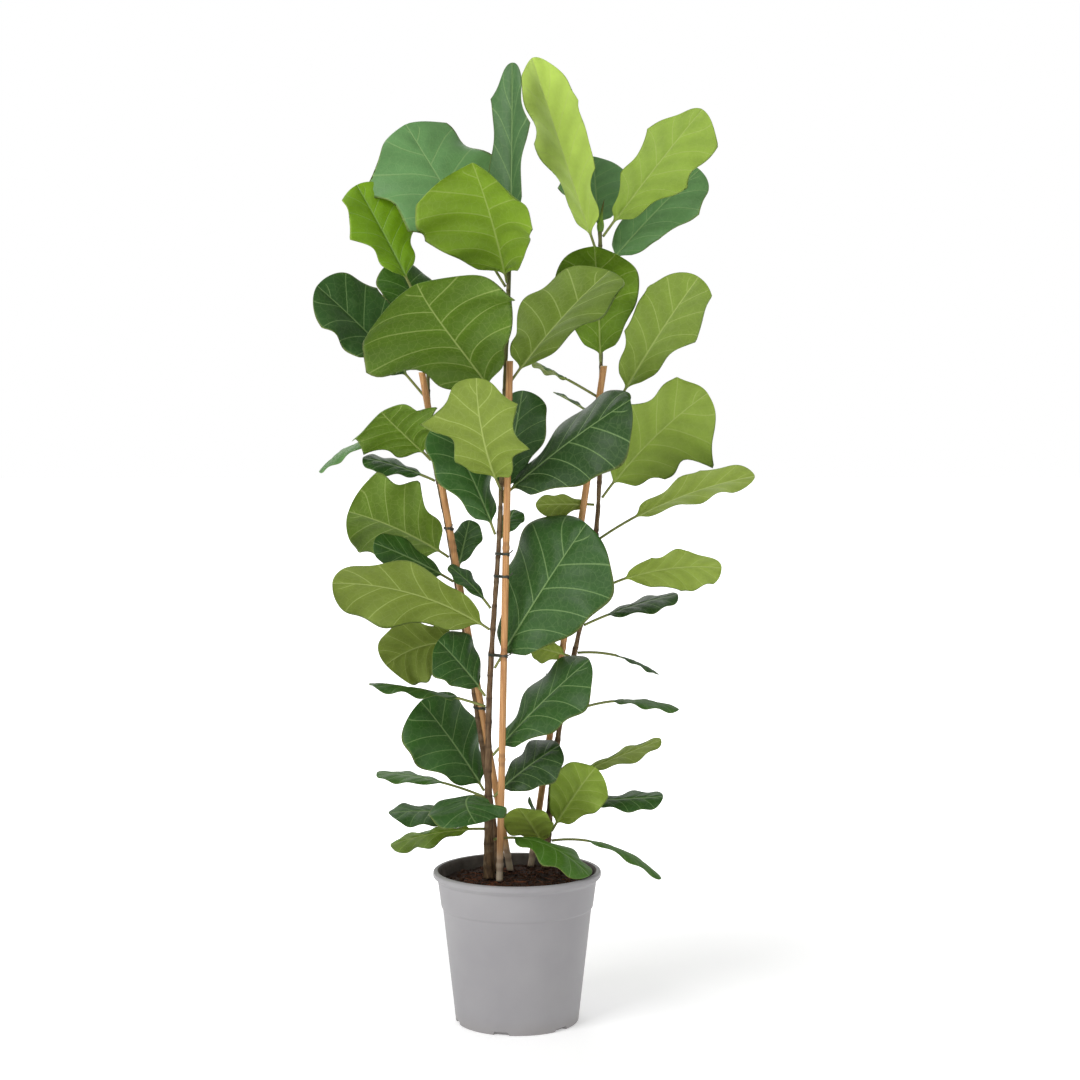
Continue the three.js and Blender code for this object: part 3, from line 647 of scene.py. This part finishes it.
def leaf_points(leaf, index, side, skin, stalk_shares, blade_shares, fine):
    """A leaf's skin as a grid in millimetres from its foot: a row for each station along stalk and
    blade and a column for each place round its section. side runs from -1 to 1 across the leaf and
    skin from -1 underneath to 1 on top. The midline leaves at the rise and bearing and turns
    evenly; each half of the section is an arc that starts at the fold and turns by the curl."""
    way = {key: math.radians(leaf[key]) for key in ANGLES}
    width = leaf["width"]
    distance = [stalk_shares * leaf["stalk"], leaf["stalk"] + blade_shares * leaf["length"]]
    distance = np.concatenate(distance)
    t = np.concatenate([np.zeros(len(stalk_shares)), blade_shares])[:, None]
    share = distance / (leaf["stalk"] + leaf["length"])
    passed = share[:, None] * (np.arange(WALK_STEPS) + 0.5) / WALK_STEPS
    headings = direction(way["bearing"] + way["sweep"] * passed, way["rise"] - way["droop"] * passed)
    middle = headings.mean(1) * distance[:, None]

    sideways = direction(way["bearing"] + way["sweep"] * share - np.pi / 2, 0)
    heading = direction(way["bearing"] + way["sweep"] * share, way["rise"] - way["droop"] * share)
    face = np.cross(sideways, heading)
    across = sideways * np.cos(way["roll"]) + face * np.sin(way["roll"])
    normal = face * np.cos(way["roll"]) - sideways * np.sin(way["roll"])

    blade = smooth(t, 0, BLADE_START)
    form = outline(t)
    hand = np.sign(side)[None]
    out = np.abs(side)[None]
    broad = np.maximum(width / 2 * form, TIP_HALF_WIDTH)
    lift = WAVE_SHARE * width * blade * out**2 * np.sqrt(form)
    lift = lift * np.sin(2 * np.pi * waves(BLADE_WAVES, t, index, hand))
    if fine:
        lobes = np.sin(2 * np.pi * waves(LOBE_WAVES, t, index, hand))
        corners = 0.5 - np.abs(np.sin(np.pi * waves(CORNER_WAVES, t, index, hand))) ** CORNER_POINT
        margin = LOBE_SHARE * lobes + CORNER_SHARE * leaf["lobed"] * corners
        broad = broad * (1 + margin * out * smooth(t, *MARGIN_START))
        frill = np.sin(2 * np.pi * waves(FRILL_WAVES, t, index, hand))
        ruffle = FRILL_SHARE * (FRILL_LEAST + leaf["lobed"])
        lift = lift + ruffle * width * blade * out**4 * form * frill
        swell = 0.5 - 0.5 * np.cos(2 * np.pi * vein_phase(t, side[None]))
        window = blade * (1 - out**6) * smooth(out, 0.0, 0.15) * smooth(1 - t, 0.0, 0.12)
        lift = lift + QUILT_SHARE * width * swell * window
    half_width = STALK_RADIUS + (broad - STALK_RADIUS) * blade
    half_thick = STALK_RADIUS + (BLADE_HALF_THICKNESS - STALK_RADIUS) * blade
    tilt = (way["fold"] + hand * way["skew"]) * blade
    bend = way["curl"] * blade * out
    chord = out * half_width * np.sinc(bend / 2 / np.pi)
    span, rising = chord * np.cos(tilt + bend / 2), chord * np.sin(tilt + bend / 2)
    thick = skin[None] * half_thick
    if fine:
        rib = np.exp(-((span / RIB_WIDTH) ** 2)) * blade * (1 - 0.8 * t) * RIB_HEIGHT
        thick = thick - rib * np.where(skin[None] < 0, 1.0, RIB_UPPER_SHARE) * np.abs(skin[None])
    outwards = hand * (span - thick * np.sin(tilt + bend))
    upwards = rising + lift + thick * np.cos(tilt + bend)
    points = middle[:, None] + across[:, None] * outwards[..., None]
    points = points + normal[:, None] * upwards[..., None]
    return points, t, outwards


def crowded(rows):
    """Shares from 0 to 1 that lie closer together at both ends."""
    return 0.5 - 0.5 * np.cos(np.pi * np.linspace(0, 1, rows))


def fine_section():
    """side and skin round a leaf's section: under it from one margin to the other, then back over
    the top, with more columns near the midrib, and the skins meeting in a rounded margin."""
    even = np.linspace(1, -1, HALF_COLUMNS + 1)[:-1]
    side = np.sign(even) * np.abs(even) ** COLUMN_CROWDING
    half = np.sqrt(1 - side**2)
    return np.concatenate([side, -side]), np.concatenate([-half, half])


def frame_section():
    """side and skin round the section of the frame's plain leaf."""
    turn = -2 * np.pi * np.arange(FRAME_SIDES) / FRAME_SIDES
    side = np.cos(turn)
    return np.where(np.abs(side) < 1e-9, 1e-9, side), np.sin(turn)


def make_leaf(name, leaf, index, material, foot=None):
    """A leaf at a foot given in metres, or where the frame's plain leaf of that name has it."""
    leaf = {**PLAIN, **leaf}
    side, skin = fine_section()
    stalk_rows = np.linspace(0, 1, STALK_ROWS)
    blade_rows = crowded(BLADE_ROWS)[1:]
    points, t, outwards = leaf_points(leaf, index, side, skin, stalk_rows, blade_rows, True)
    if foot is None:
        plain, _, _ = leaf_points(leaf, index, *frame_section(), FRAME_STALK, FRAME_BLADE, False)
        low, high = (np.array(corner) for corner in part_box(name))
        flat = plain.reshape(-1, 3) * MM
        foot = (low + high - flat.min(0) - flat.max(0)) / 2
    grid = points.shape[:2]
    upper = np.broadcast_to((np.sign(skin) + 1) / 2, grid)
    marks = {
        "place": marked(np.broadcast_to(t, grid), np.broadcast_to(side, grid), outwards),
        "look": marked(upper, leaf["youth"], leaf["grey"]),
        "tint_and_painted_light": marked(np.full(grid, leaf["fresh"]), leaf["painted_light_and_tone"]),
    }
    node = [name] if name in frame["nodes"] else []
    return make_piece(name + "_blade", points * MM + foot, material, marks, stands_for=node)


# ---- Stems, canes and ties ----
def node_rings(name):
    """Heights, middles and radii of the level rings that a frame node is made of."""
    mesh = frame["nodes"][name].data
    points = np.zeros(len(mesh.vertices) * 3)
    mesh.vertices.foreach_get("co", points)
    points = points.reshape(-1, 3)
    level = np.round(points[:, 2], 5)
    heights = np.unique(level)
    low = np.array([points[level == height, :2].min(0) for height in heights])
    high = np.array([points[level == height, :2].max(0) for height in heights])
    return heights, (low + high) / 2, (high - low)[:, 0] / 2


def between(heights, values, wanted):
    """Values at wanted heights on the smooth curve through the given ones, whose slope at each is
    that between its neighbours."""
    slopes = np.gradient(values, heights, axis=0)
    place = np.clip(np.searchsorted(heights, wanted) - 1, 0, len(heights) - 2)
    run = heights[place + 1] - heights[place]
    f = (wanted - heights[place]) / run
    if values.ndim > 1:
        f, run = f[:, None], run[:, None]
    start, end = values[place], values[place + 1]
    curve = start * (1 + 2 * f) * (1 - f) ** 2 + end * f * f * (3 - 2 * f)
    return curve + slopes[place] * run * f * (1 - f) ** 2 + slopes[place + 1] * run * f * f * (f - 1)


def upright_tube(heights, middles, radius):
    """Level rings about middles: radius is given for each row and each place round the ring."""
    turn = 2 * np.pi * np.arange(radius.shape[1]) / radius.shape[1]
    x = middles[:, :1] + radius * np.cos(turn)
    y = middles[:, 1:] + radius * np.sin(turn)
    return np.stack([x, y, np.broadcast_to(heights[:, None], x.shape)], -1)


def make_stem(name, material):
    """A stem on the frame's own middle line, with a swollen ring and a scar at every leaf node."""
    heights, middles, radii = node_rings(name + "_stem")
    wanted = np.arange(heights[0], heights[-1], STEM_STEP * MM)
    turn = 2 * np.pi * np.arange(STEM_SIDES) / STEM_SIDES
    rise = (wanted - heights[0])[:, None] / MM
    beat = np.abs((rise / NODE_SPACING + 0.06 * np.sin(rise / 50)) % 1 - 0.5) * NODE_SPACING
    ring = np.exp(-((beat / NODE_HALF_WIDTH) ** 2))
    bark = wander(np.cos(turn)[None] * 6 + rise * 0.02, rise + 0 * turn[None], len(name), 9, 60, 7)
    radius = between(heights, radii, wanted)[:, None] + (BARK_RELIEF * bark + NODE_SWELL * ring) * MM
    points = upright_tube(wanted, between(heights, middles, wanted), radius)
    grid = points.shape[:2]
    marks = {"place": marked(np.broadcast_to(rise / rise.max(), grid), np.broadcast_to(ring, grid))}
    make_piece(name + "_bark", points, material, marks, stands_for=[name + "_stem"])


def make_cane(name, material):
    """A straight bamboo cane with raised joints, and a cut and hollow top."""
    heights, middles, radii = node_rings(name + "_cane")
    wanted = np.arange(heights[0], heights[-1], CANE_STEP * MM)
    rise = (wanted - heights[0])[:, None] / MM
    beat = np.abs((rise / BAMBOO_SPACING + 0.35) % 1 - 0.5) * BAMBOO_SPACING
    ridge = np.exp(-((beat / JOINT_HALF_WIDTH) ** 2))
    groove = np.exp(-(((beat - GROOVE_BELOW) / JOINT_HALF_WIDTH) ** 2))
    turn = 2 * np.pi * np.arange(CANE_SIDES) / CANE_SIDES
    uneven = 0.15 * np.sin(2 * turn + 0.5)[None] * np.sin(rise / 70)
    radius = radii[0] + (JOINT_SWELL * ridge - GROOVE_DEPTH * groove + uneven - 0.35) * MM
    climbed = (wanted - heights[0]) / (heights[-1] - heights[0])
    run = (middles[-1] - middles[0])[None] * climbed[:, None]
    top = heights[-1]
    tops = top + CANE_LIP[:, 1] * MM
    radius = np.concatenate([radius, radius[-1] * CANE_LIP[:, :1]])
    line = np.concatenate([middles[0] + run, np.repeat(middles[-1:], len(CANE_LIP), 0)])
    points = upright_tube(np.concatenate([wanted, tops]), line, radius)
    grid = points.shape[:2]
    share = np.concatenate([rise / rise.max(), np.ones((len(CANE_LIP), 1))])
    joint = np.concatenate([groove * 0.8 + ridge * 0.3, np.zeros((len(CANE_LIP), 1))])
    cut = np.concatenate([np.zeros((len(wanted), 1)), np.ones((len(CANE_LIP), 1))])
    marks = {"place": marked(*(np.broadcast_to(mark, grid) for mark in (share, joint, cut)))}
    make_piece(name + "_bamboo", points, material, marks, stands_for=[name + "_cane"])


def middle_at(name, height):
    """Middle and radius of a stem or cane at a height in millimetres, in metres."""
    heights, middles, radii = node_rings(name)
    wanted = np.array([height * MM])
    place = [np.interp(wanted, heights, middles[:, axis])[0] for axis in (0, 1)]
    return np.array(place), np.interp(wanted, heights, radii)[0]


def make_tie(name, height, number, material):
    """Wire wound twice round stem and cane: an oval coil that holds both, with one end standing out."""
    stem, stem_radius = middle_at(name + "_stem", height)
    cane, cane_radius = middle_at(name + "_cane", height)
    gap = cane - stem
    reach = np.linalg.norm(gap)
    long_way, short_way = gap / reach, np.array([-gap[1], gap[0]]) / reach
    half_long = (reach + stem_radius + cane_radius) / 2 + WIRE_CLEARANCE * WIRE_RADIUS * MM
    half_short = max(stem_radius, cane_radius) + WIRE_CLEARANCE * WIRE_RADIUS * MM
    middle = stem + long_way * (reach + cane_radius - stem_radius) / 2
    turn = np.linspace(0, 4 * np.pi, 96)
    flat = middle + np.cos(turn)[:, None] * long_way * half_long
    flat = flat + np.sin(turn)[:, None] * short_way * half_short
    rise = height * MM + turn / (2 * np.pi) * WIRE_PITCH * WIRE_RADIUS * MM
    coil = np.concatenate([flat, rise[:, None]], -1)
    out = coil[-1] - np.append(middle, coil[-1, 2])
    out = out / np.linalg.norm(out)
    share = np.linspace(0.05, 1, 16)[:, None]
    tail = coil[-1] + (out * WIRE_END[0] * share + np.array([0, 0, WIRE_END[1]]) * share**2) * MM
    line = np.concatenate([coil, tail])
    make_piece(f"{name}_tie_{number}", swept(line, WIRE_RADIUS * MM, WIRE_SIDES), material)


def swept(line, radius, sides):
    """A round tube of one radius along a line: each ring is square to the line there."""
    ahead = np.gradient(line, axis=0)
    ahead /= np.linalg.norm(ahead, axis=1)[:, None]
    reference = np.where(np.abs(ahead[:, 2:]) > 0.9, [[1.0, 0, 0]], [[0, 0, 1.0]])
    first = np.cross(ahead, reference)
    first /= np.linalg.norm(first, axis=1)[:, None]
    second = np.cross(ahead, first)
    turn = 2 * np.pi * np.arange(sides) / sides
    cosine, sine = np.cos(turn)[None, :, None], np.sin(turn)[None, :, None]
    return line[:, None] + (first[:, None] * cosine + second[:, None] * sine) * radius


def make_growing_tip(name, length, material):
    """The pointed sheath at a stem's top: a narrow cone with a swollen foot, leaning a little."""
    heights, middles, radii = node_rings(name + "_stem")
    share = np.linspace(0, 1, 24)[:, None]
    turn = 2 * np.pi * np.arange(18) / 18
    swell = 1.25 + 1.1 * np.sin(np.pi * np.clip(share * 2.4, 0, 1)) * 0.6
    radius = radii[-1] * swell * (1 - share**1.4) * (1 + 0.12 * np.cos(2 * turn)[None]) + 0.25 * MM
    lean = TIP_LEAN * length * MM * share**2
    points = upright_tube(heights[-1] - 3 * MM + length * MM * share[:, 0], middles[-1] + lean, radius)
    marks = {"place": marked(np.broadcast_to(share, points.shape[:2]))}
    make_piece(name + "_growing_tip", points, material, marks)


# ---- Pot and soil ----
def softened(profile, cut):
    """A profile with each inner corner replaced by a curve that starts and ends a cut away."""
    points = [profile[0]]
    for before, corner, after in zip(profile, profile[1:], profile[2:]):
        back, on = before - corner, after - corner
        near = min(cut, 0.45 * np.linalg.norm(back), 0.45 * np.linalg.norm(on))
        start = corner + back / np.linalg.norm(back) * near
        end = corner + on / np.linalg.norm(on) * near
        for f in np.linspace(0, 1, CORNER_POINTS):
            points.append(start * (1 - f) ** 2 + corner * 2 * f * (1 - f) + end * f * f)
    return np.array(points + [profile[-1]])


def turned(profile, segments):
    """A profile of radius and height turned about the upright axis."""
    turn = 2 * np.pi * np.arange(segments) / segments
    radius, height = profile[:, :1], profile[:, 1:]
    points = [radius * np.cos(turn), radius * np.sin(turn), height + 0 * turn]
    return np.stack(points, -1), turn


def make_pot(material):
    """The nursery pot: a tapered body, a step up to the collar, a rolled rim, a thin wall, and
    notches round the foot where water drains."""
    low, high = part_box("pot")
    rim, top = high.x / MM, high.z / MM
    base, body_top = BASE_SHARE * rim, BODY_TOP_SHARE * rim
    collar_foot = COLLAR_FOOT_HEIGHT * top
    rim_foot = top - RIM_DEPTH
    inner_top = body_top + (body_top - base) * (top - collar_foot) / collar_foot - POT_WALL + 1.5
    inner_foot = base - POT_WALL
    profile = np.array([
        (base * 0.1, 1.2), (base * 0.8, 1.2), (base * 0.84, 0), (base - 1, 0), (base, 1.5),
        (body_top, collar_foot - 1), (COLLAR_FOOT_SHARE * rim, collar_foot + 1),
        (COLLAR_TOP_SHARE * rim, rim_foot - 3), (rim - 3, rim_foot), (rim, rim_foot + 3),
        (rim - 0.4, top - 2), (rim - 3.5, top), (inner_top + 2.5, top - 0.4), (inner_top, top - 4),
        (inner_foot, POT_FLOOR + 3), (inner_foot - 4, POT_FLOOR), (base * 0.1, POT_FLOOR),
    ])
    profile = softened(profile, CORNER_CUT)
    steps = np.linalg.norm(np.diff(profile, axis=0), axis=1)
    run = np.concatenate([[0], np.cumsum(steps)])
    wanted = np.unique(np.concatenate([run, np.arange(0, run[-1], PROFILE_STEP)]))
    profile = np.stack([np.interp(wanted, run, profile[:, axis]) for axis in (0, 1)], -1)
    points, turn = turned(profile, POT_SEGMENTS)
    half_turn = NOTCH_WIDTH / 2 / base
    gap = 2 * np.pi / DRAIN_NOTCHES
    off = np.abs((turn - NOTCH_START + gap / 2) % gap - gap / 2)
    in_notch = smooth(half_turn - off, 0, 1.2 / base)[None]
    outer = (np.arange(len(profile)) <= np.argmax(profile[:, 1]))[:, None]
    foot = outer & (profile[:, :1] > base - NOTCH_DEPTH) & (profile[:, 1:] < NOTCH_HEIGHT)
    points[..., 2] += np.where(foot, (NOTCH_HEIGHT - points[..., 2]) * in_notch, 0)
    inside = (np.arange(len(profile)) > np.argmax(profile[:, 1]) + 6)[:, None]
    grid = points.shape[:2]
    # The first mark says where the painted shade of the pot's hollow goes; the second marks the low band
    # near the foot.
    marks = {"place": marked(
        np.broadcast_to(inside, grid), np.broadcast_to(1 - smooth(profile[:, 1:], 0, 26), grid)
    )}
    make_piece("pot_shell", points * MM, material, marks, stands_for=["pot"])


def soil_height(x, y, top):
    """Height of the soil in millimetres: level, lower near the pot's wall, with soft hollows."""
    far = np.hypot(x, y)
    edge = -SOIL_EDGE_DROP * smooth(far, *SOIL_EDGE)
    return top - 0.5 + edge + SOIL_ROUGHNESS * wander(x, y, 3, 16, 90, 5)


def make_soil(material, crumb_material, fibre_material):
    """The soil's rough top over a plain body, with crumbs and root fibres lying on it."""
    heights, _, radii = node_rings("soil")
    order = np.argsort(-heights)[1:]
    radius, top = radii.max() / MM, heights.max() / MM - 2
    reach = np.concatenate([np.linspace(0.6, radius, SOIL_RINGS), radii[order] / MM - 0.2, [0.6]])
    level = np.concatenate([np.full(SOIL_RINGS, top), heights[order] / MM - 3, [heights.min() / MM]])
    level = np.maximum(level, heights.min() / MM)
    points, turn = turned(np.stack([reach, level], -1), SOIL_SEGMENTS)
    surface = points[:SOIL_RINGS]
    surface[..., 2] = soil_height(surface[..., 0], surface[..., 1], top)
    make_piece("soil_body", points * MM, material, stands_for=["soil"])

    chance = np.random.default_rng(11)
    far = (radius - 5) * np.sqrt(chance.uniform(0.01, 1, CRUMBS))
    bearing = chance.uniform(0, 2 * np.pi, CRUMBS)
    x, y = far * np.cos(bearing), far * np.sin(bearing)
    size = chance.uniform(*CRUMB_SIZES, CRUMBS) * chance.uniform(0.5, 1, CRUMBS)
    middles = np.stack([x, y, soil_height(x, y, top) + size * 0.25], -1)
    rise = np.linspace(-1.3, 1.3, 5)[:, None]
    round_ = 2 * np.pi * np.arange(7) / 7
    lump = direction(round_[None], rise)
    shape = lump[None] * size[:, None, None, None] * chance.uniform(0.65, 1.2, (CRUMBS, 5, 7, 1))
    shape = shape * chance.uniform(0.6, 1.1, (CRUMBS, 1, 1, 3))
    make_many("soil_crumbs", shape + middles[:, None, None], crumb_material)

    far = (radius - 22) * np.sqrt(chance.uniform(0.02, 1, FIBRES))
    bearing, heading = chance.uniform(0, 2 * np.pi, (2, FIBRES))
    length = chance.uniform(*FIBRE_LENGTHS, FIBRES)
    bow = chance.uniform(-1.2, 1.2, FIBRES)
    share = np.linspace(-0.5, 0.5, 10)
    way = heading[:, None] + bow[:, None] * share
    x = (far * np.cos(bearing))[:, None] + length[:, None] * share * np.cos(way)
    y = (far * np.sin(bearing))[:, None] + length[:, None] * share * np.sin(way)
    lines = np.stack([x, y, soil_height(x, y, top) + 0.8], -1)
    tubes = np.stack([swept(line, FIBRE_RADIUS, 5) for line in lines])
    make_many("soil_fibres", tubes, fibre_material)


def make_many(name, grids, material):
    """Many small closed skins of the same layout, each a grid of rings, joined as one piece."""
    count, rows, ring = grids.shape[:3]
    size = rows * ring
    corner = np.arange(count * size).reshape(count, rows, ring)
    beside = np.roll(corner, -1, axis=2)
    walls = np.stack([corner[:, :-1], beside[:, :-1], beside[:, 1:], corner[:, 1:]], -1).reshape(-1, 4)
    ends = np.concatenate([corner[:, 0, ::-1], corner[:, -1]])
    polygons = walls.tolist() + ends.tolist()
    verts = grids.reshape(-1, 3) * MM
    if enclosed(verts, walls, ends) < 0:
        polygons = [polygon[::-1] for polygon in polygons]
    finished(name, verts, polygons, material, {})


# ---- Studio ----
def make_studio():
    """Pale floor, white surroundings, three soft lights and the camera."""
    half = FLOOR_HALF_WIDTH
    floor = bpy.data.meshes.new("floor")
    corners = [(-half, -half, 0), (half, -half, 0), (half, half, 0), (-half, half, 0)]
    floor.from_pydata(corners, [], [(0, 1, 2, 3)])
    floor.materials.append(floor_finish())
    ground = bpy.data.objects.new("floor", floor)
    bpy.context.scene.collection.objects.link(ground)

    world = bpy.data.worlds.new("studio")
    bpy.context.scene.world = world
    world.use_nodes = True
    nodes, links = world.node_tree.nodes, world.node_tree.links
    seen = nodes.new("ShaderNodeLightPath").outputs["Is Camera Ray"]
    strength = nodes.new("ShaderNodeMapRange")
    links.new(seen, strength.inputs["Value"])
    strength.inputs["To Min"].default_value = AMBIENT
    strength.inputs["To Max"].default_value = 1.0
    nodes["Background"].inputs["Color"].default_value = (1, 1, 1, 1)
    links.new(strength.outputs[0], nodes["Background"].inputs["Strength"])

    for name, light in LIGHTS.items():
        lamp = bpy.data.lights.new(name, "AREA")
        lamp.size = light["size"]
        lamp.energy = light["energy"]
        holder = bpy.data.objects.new(name, lamp)
        holder.location = light["place"]
        look = np.array(light["aim"]) - np.array(light["place"])
        across = math.hypot(look[0], look[1])
        holder.rotation_euler = (math.atan2(across, -look[2]), 0, math.atan2(-look[0], look[1]))
        bpy.context.scene.collection.objects.link(holder)

    camera = bpy.data.cameras.new("camera")
    camera.lens = LENS
    viewer = bpy.data.objects.new("camera", camera)
    viewer.location = CAMERA_PLACE
    viewer.rotation_euler = (math.pi / 2 - CAMERA_DOWN, 0, -CAMERA_RIGHT)
    bpy.context.scene.collection.objects.link(viewer)
    bpy.context.scene.camera = viewer
    bpy.context.scene.view_settings.view_transform = "Standard"


# ---- The plant ----
def make_plant():
    slots = {part["node"]: part["material_slot"] for part in frame["record"]["subparts"]}
    finishes = {slot: leaf_finish(slot) for slot in ("old_leaf", "new_leaf")}
    bark, bamboo, sheath, wire = bark_finish(), bamboo_finish(), sheath_finish(), wire_finish()
    for stem, leaves in LEAVES.items():
        make_stem(stem, bark)
        make_cane(stem, bamboo)
        make_growing_tip(stem, TIP_SHEATHS[stem], sheath)
        for number, height in enumerate(TIES[stem], 1):
            make_tie(stem, height, number, wire)
        for index, leaf in enumerate(leaves):
            name = f"{stem}_leaf_{index + 1:02d}"
            make_leaf(name, leaf, index, finishes[slots[name]])
    for index, (name, (stem, height, leaf)) in enumerate(SMALL_LEAVES.items()):
        middle, radius = middle_at(stem + "_stem", height)
        bearing = math.radians(leaf["bearing"])
        away = radius + (STALK_RADIUS + STEM_GAP) * MM
        foot = np.array([*(middle + direction(bearing, 0)[:2] * away), height * MM])
        make_leaf(name, leaf, index, finishes["old_leaf"], foot)


make_studio()
make_pot(pot_finish())
make_soil(
    soil_finish("potting_soil", (66, 42, 30), (24, 15, 11)),
    soil_finish("soil_crumb", (84, 56, 40), (30, 19, 14)),
    soil_finish("root_fibre", (140, 84, 54), (80, 46, 30)),
)
make_plant()
